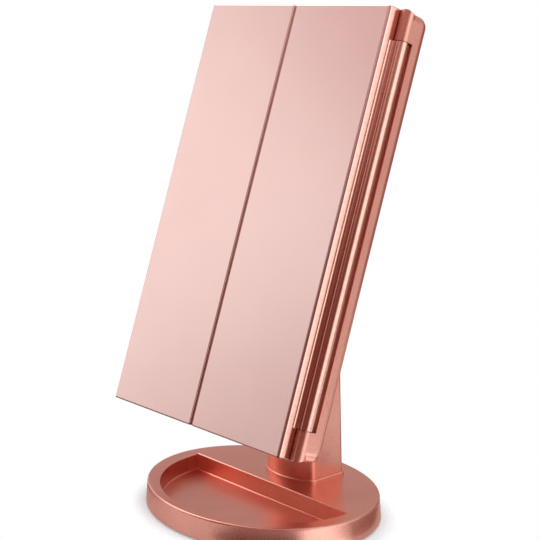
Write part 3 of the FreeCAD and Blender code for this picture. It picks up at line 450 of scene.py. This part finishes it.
def bump(tree, shader, height, distance, strength=0.3):
    """Fine relief from a height value."""
    node = tree.nodes.new("ShaderNodeBump")
    node.inputs["Distance"].default_value = distance
    node.inputs["Strength"].default_value = strength
    tree.links.new(height, node.inputs["Height"])
    tree.links.new(node.outputs["Normal"], shader.inputs["Normal"])


print("paint helpers:", [helper.__name__ for helper in (shader_of, noise, spread, bump)])

# %% Metallic paint
FLAKE_SCALE, CLOUD_SCALE = 1900.0, 26.0
CLOUD_SHARE = 0.45
CLOUD_LOW, CLOUD_HIGH = 0.2, 0.8
FLAKE_RELIEF, FLAKE_BUMP = 0.02 * MM, 0.12
COAT_ROUGHNESS = 0.12


def sprayed_metal(name, deep, pale, rough, edge, coat):
    """Metallic paint of flakes and a faint spray cloud under a thin clear coat."""
    material, tree, shader, coords = shader_of(name)
    flakes = noise(tree, coords, FLAKE_SCALE, 1.0)
    cloud = noise(tree, coords, CLOUD_SCALE, 3.0)
    fine = ramp(tree, flakes, deep, pale)
    wide = ramp(tree, cloud, deep, pale, CLOUD_LOW, CLOUD_HIGH)
    colour = blend_colours(tree, CLOUD_SHARE, fine, wide)
    tree.links.new(colour, shader.inputs["Base Color"])
    tree.links.new(spread(tree, flakes, *rough), shader.inputs["Roughness"])
    shader.inputs["Metallic"].default_value = 1.0
    shader.inputs["Specular Tint"].default_value = (*edge, 1.0)
    shader.inputs["Coat Weight"].default_value = coat
    shader.inputs["Coat Roughness"].default_value = COAT_ROUGHNESS
    bump(tree, shader, flakes, FLAKE_RELIEF, FLAKE_BUMP)
    return material, tree, shader, coords, colour


finishes = {}
finishes["metallic_rose"] = sprayed_metal(
    "metallic_rose_paint", deep=(0.7, 0.285, 0.222), pale=(0.95, 0.455, 0.367),
    rough=(0.27, 0.39), edge=(1.0, 0.78, 0.7), coat=0.25)[0]
print("paint:", finishes["metallic_rose"].name)

# %% [markdown]
# ## Satin paint on the doors
# One coat of satin paint covers a whole door, but it looks different in three places. The flat
# front is pale, and a fifth of it is plain paint, so that it stays rosy whatever it reflects. The
# rounded edges and the hinge barrel are full metal, and deeper in colour towards the back. A thin
# dark line is painted along the rounded lower edge: a painted dark reflection, not a mark in the
# paint. The places are worked out from distances in the head's own directions, because the head
# leans back.

# %% The head's own directions
HEAD_LEAN = math.radians(18.81)
HEAD_PIVOT = Vector((0.0, 0.0356, 0.18241))
PIVOT_IN_HEAD = Vector((0.0, 0.04916, 0.1404))
HEAD = (Matrix.Translation(HEAD_PIVOT) @ Matrix.Rotation(-HEAD_LEAN, 4, "X")
        @ Matrix.Translation(-PIVOT_IN_HEAD))
HEAD_BACK = Vector((0.0, math.cos(HEAD_LEAN), -math.sin(HEAD_LEAN)))
HEAD_UP = Vector((0.0, math.sin(HEAD_LEAN), math.cos(HEAD_LEAN)))
DOOR_FRONT = HEAD_BACK.dot(HEAD.translation)
DOOR_FOOT = min(HEAD_UP.dot(vert.co) for vert in nodes["right_door_cover"].data.vertices)
print("head leans", round(math.degrees(HEAD_LEAN), 2), "degrees, doors' front at depth",
      round(DOOR_FRONT, 4), "and lower edge at", round(DOOR_FOOT, 4))

# %% Satin paint
# Depths behind the front between which the paint turns to full metal and then to its deep colour.
METAL_FROM, METAL_TO = 0.02 * MM, 0.3 * MM
DEEP_FROM, DEEP_TO = 0.6 * MM, 2.0 * MM
FRONT_METAL = 0.8
# Heights above the lower edge: the painted dark reflection begins, is full, starts to end, and is
# over.
LINE_FOOT, LINE_LOW, LINE_HIGH, LINE_TOP = 0.1 * MM, 0.3 * MM, 0.6 * MM, 1.0 * MM
HINGE_GRAIN, LINE_GRAIN = 420.0, 900.0

satin, tree, shader, coords, front_colour = sprayed_metal(
    "satin_rose_paint", deep=(0.9, 0.63, 0.59), pale=(0.98, 0.7, 0.655),
    rough=(0.13, 0.19), edge=(1.0, 0.9, 0.87), coat=0.04)
depth = reach_along(tree, coords, HEAD_BACK)
metal = new_range(tree, depth, DOOR_FRONT + METAL_FROM, DOOR_FRONT + METAL_TO)
tree.links.new(spread(tree, metal, FRONT_METAL, 1.0), shader.inputs["Metallic"])

hinge_colour = ramp(tree, noise(tree, coords, HINGE_GRAIN), (0.86, 0.46, 0.37), (0.94, 0.55, 0.46))
deepening = new_range(tree, depth, DOOR_FRONT + DEEP_FROM, DOOR_FRONT + DEEP_TO)
coating = blend_colours(tree, deepening, front_colour, hinge_colour)

# Painted dark reflection: a thin dark line along the doors' rounded lower edge.
painted_reflection_colour = ramp(tree, noise(tree, coords, LINE_GRAIN), (0.21, 0.07, 0.055), (0.27, 0.095, 0.075))
rise = reach_along(tree, coords, HEAD_UP)
painted_reflection_line = calculate(tree, "MULTIPLY",
                      new_range(tree, rise, DOOR_FOOT + LINE_TOP, DOOR_FOOT + LINE_HIGH),
                      new_range(tree, rise, DOOR_FOOT + LINE_FOOT, DOOR_FOOT + LINE_LOW))
tree.links.new(blend_colours(tree, painted_reflection_line, coating, painted_reflection_colour), shader.inputs["Base Color"])
finishes["satin_rose"] = satin
print("paint:", satin.name, len(tree.nodes), "nodes")

# %% [markdown]
# ## Plastics, rubber and small parts
# The frames behind the doors are moulded in rose plastic, the bottom plate and the battery lid in a
# darker textured plastic. Each of these gets its own grain: moulding texture on plastics, a dusty
# bloom on rubber, drawn lines on plated steel, traces on the circuit boards.

# %% Plastics and rubber
MOULD_CLOUD_SCALE = 40.0


def moulded(name, deep, pale, scale, rough, relief, sheen=0.0):
    """Moulded surface with an even grain."""
    material, tree, shader, coords = shader_of(name)
    grain = noise(tree, coords, scale, 3.0)
    cloud = noise(tree, coords, MOULD_CLOUD_SCALE)
    colour = blend_colours(tree, 0.5, ramp(tree, grain, deep, pale), ramp(tree, cloud, deep, pale))
    tree.links.new(colour, shader.inputs["Base Color"])
    tree.links.new(spread(tree, grain, *rough), shader.inputs["Roughness"])
    shader.inputs["Sheen Weight"].default_value = sheen
    bump(tree, shader, grain, relief)
    return material


finishes["frame_plastic"] = moulded(
    "rose_moulding", deep=(0.6, 0.33, 0.285), pale=(0.68, 0.4, 0.35),
    scale=900.0, rough=(0.28, 0.36), relief=0.03 * MM)
finishes["dark_plastic"] = moulded(
    "textured_moulding", deep=(0.3, 0.13, 0.105), pale=(0.38, 0.18, 0.145),
    scale=1500.0, rough=(0.5, 0.65), relief=0.08 * MM)
finishes["rubber"] = moulded(
    "foot_rubber", deep=(0.02, 0.019, 0.018), pale=(0.045, 0.043, 0.041),
    scale=1200.0, rough=(0.75, 0.9), relief=0.05 * MM, sheen=0.2)
finishes["cell_jacket"] = moulded(
    "cell_wrap", deep=(0.02, 0.022, 0.03), pale=(0.05, 0.055, 0.07),
    scale=300.0, rough=(0.2, 0.3), relief=0.02 * MM)
finishes["led_lens"] = moulded(
    "led_phosphor", deep=(0.75, 0.62, 0.2), pale=(0.88, 0.78, 0.36),
    scale=2500.0, rough=(0.25, 0.4), relief=0.02 * MM)
print("finishes so far:", list(finishes))

# %% Metal and boards
DRAWN_SCALE = 600.0
DRAWN_RELIEF, DRAWN_BUMP = 0.02 * MM, 0.2


def drawn_steel(name, deep, pale, stretch):
    """Bright metal with fine drawn lines."""
    material, tree, shader, coords = shader_of(name)
    lines = noise(tree, coords, DRAWN_SCALE, 3.0, stretch)
    tree.links.new(ramp(tree, lines, deep, pale), shader.inputs["Base Color"])
    tree.links.new(spread(tree, lines, 0.18, 0.34), shader.inputs["Roughness"])
    shader.inputs["Metallic"].default_value = 1.0
    bump(tree, shader, lines, DRAWN_RELIEF, DRAWN_BUMP)
    return material


def printed_board(name):
    """Solder-resist green with straight copper traces under it."""
    material, tree, shader, coords = shader_of(name)
    traces = tree.nodes.new("ShaderNodeTexBrick")
    traces.inputs["Scale"].default_value = 260.0
    traces.inputs["Mortar Size"].default_value = 0.06
    traces.inputs["Color1"].default_value = (0.02, 0.12, 0.05, 1.0)
    traces.inputs["Color2"].default_value = (0.025, 0.15, 0.06, 1.0)
    traces.inputs["Mortar"].default_value = (0.06, 0.24, 0.1, 1.0)
    tree.links.new(coords, traces.inputs["Vector"])
    tree.links.new(traces.outputs["Color"], shader.inputs["Base Color"])
    dull = spread(tree, noise(tree, coords, 700.0), 0.3, 0.45)
    tree.links.new(dull, shader.inputs["Roughness"])
    return material


finishes["plated_steel"] = drawn_steel(
    "plated_steel", deep=(0.5, 0.49, 0.48), pale=(0.68, 0.67, 0.66), stretch=(1.0, 1.0, 0.1))
finishes["circuit_board"] = printed_board("green_board")
print("finishes so far:", list(finishes))

# %% [markdown]
# ## Glass
# A mirror is silvered on the back of clear glass, so it reflects nearly everything and is a little
# green-grey, with the faintest cloud of wiping marks. It has no roughness at all, and the room
# gives such perfect reflections a plain pale sky. The light windows are frosted: they scatter
# light inside, and a fine grain keeps them from looking glossy.

# %% Mirror glass and frosted windows
WIPE_SCALE, WIPE_STRETCH = 35.0, (1.0, 1.0, 0.25)
FROST_SCALE, FROST_RELIEF = 2200.0, 0.03 * MM
SCATTER_SHARE, SCATTER_REACH = 0.3, 2.0 * MM

mirror, tree, shader, coords = shader_of("silvered_glass")
wipes = noise(tree, coords, WIPE_SCALE, 4.0, WIPE_STRETCH)
silver = ramp(tree, wipes, (0.86, 0.885, 0.88), (0.9, 0.915, 0.91))
tree.links.new(silver, shader.inputs["Base Color"])
shader.inputs["Roughness"].default_value = 0.0
shader.inputs["Metallic"].default_value = 1.0
finishes["mirror_glass"] = mirror

frosted, tree, shader, coords = shader_of("frosted_window")
frost = noise(tree, coords, FROST_SCALE)
milk = ramp(tree, frost, (0.82, 0.82, 0.8), (0.9, 0.9, 0.885))
tree.links.new(milk, shader.inputs["Base Color"])
tree.links.new(spread(tree, frost, 0.45, 0.6), shader.inputs["Roughness"])
shader.inputs["Subsurface Weight"].default_value = SCATTER_SHARE
shader.inputs["Subsurface Radius"].default_value = (SCATTER_REACH,) * 3
bump(tree, shader, frost, FROST_RELIEF)
finishes["frosted_window"] = frosted
print("glass:", mirror.name, frosted.name)

# %% [markdown]
# ## Put the finishes on the model
# The record of the model names a slot for each node. Every node keeps its mesh and gets the finish
# of its slot.

# %% Dress the nodes
slot_of = {part["node"]: part["material_slot"] for part in frame["record"]["subparts"]}
for name, node in nodes.items():
    node.data.materials.clear()
    node.data.materials.append(finishes[slot_of[name]])
print("dressed:", len(nodes), "nodes with", len(finishes), "finishes")

# %% [markdown]
# ## Small pieces
# New pieces are made with mesh operators, with their places worked into the mesh. Pieces of the
# head are drawn upright in the head's own directions (across, back from the doors' front, up from
# their lower edge) and then leaned back with the head. Each piece is parented to an empty named
# after a body of the model.

# %% Piece helpers
SAME_POINT = 1e-7


def make_piece(name, bm, body, slot, finish, sharp=35.0):
    """Object from a mesh under construction; it rides on a body of the model."""
    bmesh.ops.recalc_face_normals(bm, faces=bm.faces)
    mesh = bpy.data.meshes.new(name)
    bm.to_mesh(mesh)
    bm.free()
    mesh.shade_smooth()
    mesh.set_sharp_from_angle(angle=math.radians(sharp))
    mesh.materials.append(finish)
    piece = bpy.data.objects.new(name, mesh)
    scene.collection.objects.link(piece)
    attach(piece, body)
    return piece


def add_all(bm, one, matrix):
    """Put a finished small mesh into a larger one at a place."""
    bmesh.ops.transform(one, matrix=matrix, verts=one.verts)
    mesh = bpy.data.meshes.new("passing_mesh")
    one.to_mesh(mesh)
    one.free()
    bm.from_mesh(mesh)
    bpy.data.meshes.remove(mesh)


def lathe(bm, profile, steps):
    """Body turned from a profile of radius and height about the upright axis."""
    points = [bm.verts.new((radius, 0.0, height)) for radius, height in profile]
    edges = [bm.edges.new(pair) for pair in zip(points, points[1:])]
    bmesh.ops.spin(bm, geom=points + edges, axis=(0.0, 0.0, 1.0), cent=(0.0, 0.0, 0.0),
                   angle=math.tau, steps=steps, use_merge=True)
    bmesh.ops.remove_doubles(bm, verts=bm.verts, dist=SAME_POINT)


print("piece helpers:", [helper.__name__ for helper in (make_piece, add_all, lathe)])

# %% [markdown]
# ## Screws
# The model's screws are plain turned bodies. Each one is replaced by a screw of the same size with
# thread, rounded head and a cross recess. Its place and its radii come from the model's own screw,
# and every screw is turned a little differently, as hands leave them.

# %% Draw a screw's outline
THREAD_PITCH = 0.8 * MM
TIP_HEIGHT = 0.5 * MM
# Length of tip and neck together, without thread, and of the neck's full-width end.
PLAIN_LENGTH, NECK_LENGTH = 1.4 * MM, 0.3 * MM
HEAD_EDGE = 0.1 * MM
# Radius of the thread's root as a share of the shank's, and of the tip as a share of the root's.
ROOT_SHARE, TIP_SHARE = 0.74, 0.4
# Height of the head's dome as a share of the head's, and radius of the flat on it.
DOME_SHARE, FLAT_SHARE = 0.45, 0.78
# Where a turn of thread reaches its crest, leaves it and is back at its root, in pitches.
CREST_START, CREST_END, ROOT_AGAIN = 0.4, 0.5, 0.9
DOME_STEPS = 6


def screw_profile(shank, head, seat, top):
    """Tip, thread, shank and rounded head, as radius and height above the tip."""
    root = ROOT_SHARE * shank
    turns = max(1, int((seat - PLAIN_LENGTH) / THREAD_PITCH))
    profile = [(0.0, 0.0), (TIP_SHARE * root, 0.0), (root, TIP_HEIGHT)]
    for turn in range(turns):
        low = TIP_HEIGHT + turn * THREAD_PITCH
        profile += [(shank, low + CREST_START * THREAD_PITCH),
                    (shank, low + CREST_END * THREAD_PITCH),
                    (root, low + ROOT_AGAIN * THREAD_PITCH)]
    profile += [(shank, seat - NECK_LENGTH), (shank, seat),
                (head - HEAD_EDGE, seat), (head, seat + HEAD_EDGE)]
    dome, flat = DOME_SHARE * (top - seat), FLAT_SHARE * head
    for step in range(DOME_STEPS + 1):
        angle = math.radians(90.0 * step / DOME_STEPS)
        profile.append((flat + (head - flat) * math.cos(angle),
                        top - dome + dome * math.sin(angle)))
    return profile


sample = {"shank": 1.1 * MM, "head": 2.2 * MM, "seat": 8.0 * MM, "top": 9.4 * MM}
print("outline of a screw:", len(screw_profile(**sample)), "points")

# %% Turn a screw and cut its cross
SCREW_SIDES = 40
# Shares of the head's radius, of its height, and of the cross itself at the recess's floor.
ARM_SHARE, ARM_HALF_WIDTH, RECESS_DEPTH, RECESS_TAPER = 0.5, 0.13, 0.6, 0.62


def cross_screw(shank, head, seat, top):
    """Screw standing on its tip, with a tapering cross recess in its head."""
    bm = bmesh.new()
    lathe(bm, screw_profile(shank, head, seat, top), SCREW_SIDES)
    rim = [edge for edge in bm.edges if edge.is_boundary]
    arm, half = ARM_SHARE * head, ARM_HALF_WIDTH * head
    quarter = [(arm, -half), (arm, half), (half, half)]
    cross = []
    for turn in range(4):
        spin = Matrix.Rotation(math.radians(90.0 * turn), 4, "Z")
        cross += [bm.verts.new(spin @ Vector((x, y, top))) for x, y in quarter]
    outline = [bm.edges.new(pair) for pair in zip(cross, cross[1:] + cross[:1])]
    bmesh.ops.triangle_fill(bm, use_beauty=True, edges=rim + outline)
    sunk = bmesh.ops.extrude_edge_only(bm, edges=outline)["geom"]
    floor_points = [item for item in sunk if isinstance(item, bmesh.types.BMVert)]
    floor_edges = [edge for edge in bm.edges if all(vert in floor_points for vert in edge.verts)]
    bmesh.ops.scale(bm, vec=(RECESS_TAPER, RECESS_TAPER, 1.0), verts=floor_points)
    bmesh.ops.translate(bm, vec=(0.0, 0.0, -RECESS_DEPTH * (top - seat)), verts=floor_points)
    bmesh.ops.triangle_fill(bm, use_beauty=True, edges=floor_edges)
    return bm


trial = cross_screw(**sample)
print("one screw:", len(trial.faces), "faces, open edges:",
      sum(edge.is_boundary for edge in trial.edges))
trial.free()

# %% Find the model's screws
SAME_CORNER = 1e-6


def lumps(node):
    """Loose lumps of a node's mesh, each as a list of points."""
    bm = bmesh.new()
    bm.from_mesh(node.data)
    bmesh.ops.remove_doubles(bm, verts=bm.verts, dist=SAME_CORNER)
    found = []
    for start in bm.verts:
        if start.tag:
            continue
        start.tag = True
        waiting, lump = [start], []
        while waiting:
            vert = waiting.pop()
            lump.append(node.matrix_world @ vert.co)
            for edge in vert.link_edges:
                other = edge.other_vert(vert)
                if not other.tag:
                    other.tag = True
                    waiting.append(other)
        found.append(lump)
    bm.free()
    return found


print("screws under the plate:", len(lumps(nodes["plate_screws"])))

# %% Drive the screws
TIP_ZONE = 0.1 * MM
HEAD_OVER_SHANK = 1.2
TURN_BETWEEN_SCREWS = 53.0
UNDER = Vector((0.0, 0.0, -1.0))


def drive_screws(node_name, outward):
    """Cross-recess screws in place of a node's plain ones; their heads point outward."""
    bm = bmesh.new()
    places = lumps(nodes[node_name])
    upright = outward.to_track_quat("Z", "Y").to_matrix().to_4x4()
    for number, lump in enumerate(places):
        heights = [point.dot(outward) for point in lump]
        tip = min(heights)
        ring = [point for point, height in zip(lump, heights) if height < tip + TIP_ZONE]
        middle = sum(ring, Vector()) / len(ring)
        arms = [point - middle for point in lump]
        reaches = [(arm - outward * arm.dot(outward)).length for arm in arms]
        shank = max(reach for reach, height in zip(reaches, heights) if height < tip + TIP_ZONE)
        seat = min(height for reach, height in zip(reaches, heights)
                   if reach > HEAD_OVER_SHANK * shank)
        one = cross_screw(shank, max(reaches), seat - tip, max(heights) - tip)
        turned = Matrix.Rotation(math.radians(TURN_BETWEEN_SCREWS * number), 4, "Z")
        add_all(bm, one, Matrix.Translation(middle) @ upright @ turned)
    return bm, len(places)


for node_name, body, outward in (
        ("plate_screws", "base", UNDER), ("stem_screws", "base", UNDER),
        ("bracket_screws", "head", HEAD_BACK), ("head_screws", "head", HEAD_BACK)):
    bm, count = drive_screws(node_name, outward)
    screws = make_piece("cross_" + node_name, bm, body, "plated_steel", finishes["plated_steel"])
    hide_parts(node_name)
    print(screws.name, count, "screws,", len(screws.data.polygons), "faces")

# %% [markdown]
# ## Seams, seats and contacts
# A soft dark strip along the left door's free edge nearly fills the seam between the doors. It is
# painted shade: its dark brown stands for the shade in the seam, so the seam looks brown rather
# than black. It sits a little deeper at its foot than at its top. Four soft pads keep the closed
# doors off the frame, and a fine ring on the centre mirror shows where to touch for light. The
# tongue in the inlet gets its contacts.

# %% Seam strip
STRIP_FOOT, STRIP_LENGTH = 1.2 * MM, 257.0 * MM
FOOT_SETBACK, TOP_FORWARD = 1.0 * MM, 1.2 * MM
DOOR_EDGE_X = -1.25 * MM
NOSE_X, NOSE_REACH = -0.9 * MM, 1.6 * MM
NOSE_DEPTH, NOSE_HALF_DEPTH = 2.8 * MM, 2.0 * MM
NOSE_STEPS = 8

# Its dark brown is painted shade for the seam between the doors; the soft pads share this finish.
finishes["soft_rose"] = moulded(
    "soft_seam_painted_shade", deep=(0.36, 0.15, 0.115), pale=(0.43, 0.185, 0.142),
    scale=1300.0, rough=(0.6, 0.75), relief=0.04 * MM, sheen=0.1)
section = [(DOOR_EDGE_X, NOSE_DEPTH - NOSE_HALF_DEPTH)]
for step in range(NOSE_STEPS + 1):
    angle = math.radians(180.0 * step / NOSE_STEPS - 90.0)
    section.append((NOSE_X + NOSE_REACH * math.cos(angle),
                    NOSE_DEPTH + NOSE_HALF_DEPTH * math.sin(angle)))
section.append((DOOR_EDGE_X, NOSE_DEPTH + NOSE_HALF_DEPTH))
bm = bmesh.new()
face = bm.faces.new([bm.verts.new((x, back + FOOT_SETBACK, STRIP_FOOT)) for x, back in section])
risen = bmesh.ops.extrude_face_region(bm, geom=[face])["geom"]
bmesh.ops.translate(bm, vec=(0.0, -TOP_FORWARD, STRIP_LENGTH),
                    verts=[item for item in risen if isinstance(item, bmesh.types.BMVert)])
bmesh.ops.transform(bm, matrix=HEAD, verts=bm.verts)
strip = make_piece("seam_strip", bm, "left_door", "frame_plastic", finishes["soft_rose"], 50.0)
print(strip.name, len(strip.data.polygons), "faces")

# %% Soft pads
FRAME_DEPTH = 7.7 * MM
PAD_RADIUS, PAD_HEIGHT = 2.5 * MM, 0.3 * MM
PAD_SIDES = 32
PAD_PLACES = ((-45.0, 9.0), (45.0, 9.0), (-45.0, 250.0), (45.0, 250.0))
FACING_FRONT = Matrix.Rotation(math.radians(90.0), 4, "X")

crown = [(PAD_RADIUS * math.cos(math.radians(turn)), PAD_HEIGHT * math.sin(math.radians(turn)))
         for turn in range(15, 91, 15)]
bm = bmesh.new()
for across, up in PAD_PLACES:
    pad = bmesh.new()
    lathe(pad, [(0.0, 0.0), (PAD_RADIUS, 0.0)] + crown, PAD_SIDES)
    place = Matrix.Translation((across * MM, FRAME_DEPTH, up * MM))
    add_all(bm, pad, HEAD @ place @ FACING_FRONT)
pads = make_piece("soft_pads", bm, "head", "frame_plastic", finishes["soft_rose"], 60.0)
print(pads.name, len(pads.data.polygons), "faces")

# %% Touch ring
MIRROR_DEPTH = 7.8 * MM
RING_INNER, RING_OUTER = 7.2 * MM, 7.8 * MM
RING_SLOPE, RING_HEIGHT = 0.05 * MM, 0.04 * MM
RING_UP = 26.0 * MM
RING_SIDES = 72

bm = bmesh.new()
band = [(RING_INNER, 0.0), (RING_INNER + RING_SLOPE, RING_HEIGHT),
        (RING_OUTER - RING_SLOPE, RING_HEIGHT), (RING_OUTER, 0.0), (RING_INNER, 0.0)]
lathe(bm, band, RING_SIDES)
place = HEAD @ Matrix.Translation((0.0, MIRROR_DEPTH, RING_UP)) @ FACING_FRONT
bmesh.ops.transform(bm, matrix=place, verts=bm.verts)
ring = make_piece("touch_ring", bm, "head", "frosted_window", finishes["frosted_window"])
print(ring.name, len(ring.data.polygons), "faces")

# %% Inlet contacts
CONTACT_SIZE = (0.4 * MM, 3.2 * MM, 0.1 * MM)
CONTACT_EDGE = 0.03 * MM
CONTACT_COUNT, CONTACT_STEP = 8, 0.7 * MM
CONTACT_INSET, CONTACT_LIFT = 3.6 * MM, 0.35 * MM

finishes["contact_gold"] = drawn_steel(
    "contact_gold", deep=(0.75, 0.5, 0.17), pale=(0.9, 0.64, 0.26), stretch=(1.0, 0.1, 1.0))
inlet_low, inlet_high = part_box("usb_socket")
middle_x, middle_z = [(inlet_low[axis] + inlet_high[axis]) / 2.0 for axis in (0, 2)]
bm = bmesh.new()
for number in range(CONTACT_COUNT):
    across = middle_x + (number - (CONTACT_COUNT - 1) / 2.0) * CONTACT_STEP
    for side in (-1.0, 1.0):
        bar = bmesh.new()
        bmesh.ops.create_cube(bar, size=1.0)
        bmesh.ops.scale(bar, vec=CONTACT_SIZE, verts=bar.verts)
        bmesh.ops.bevel(bar, geom=bar.edges, offset=CONTACT_EDGE, offset_type="OFFSET", segments=2,
                        profile=0.5, affect="EDGES", material=-1)
        place = (across, inlet_high[1] - CONTACT_INSET, middle_z + side * CONTACT_LIFT)
        add_all(bm, bar, Matrix.Translation(place))
contacts = make_piece("inlet_contacts", bm, "base", "plated_steel", finishes["contact_gold"])
print(contacts.name, len(contacts.data.polygons), "faces")
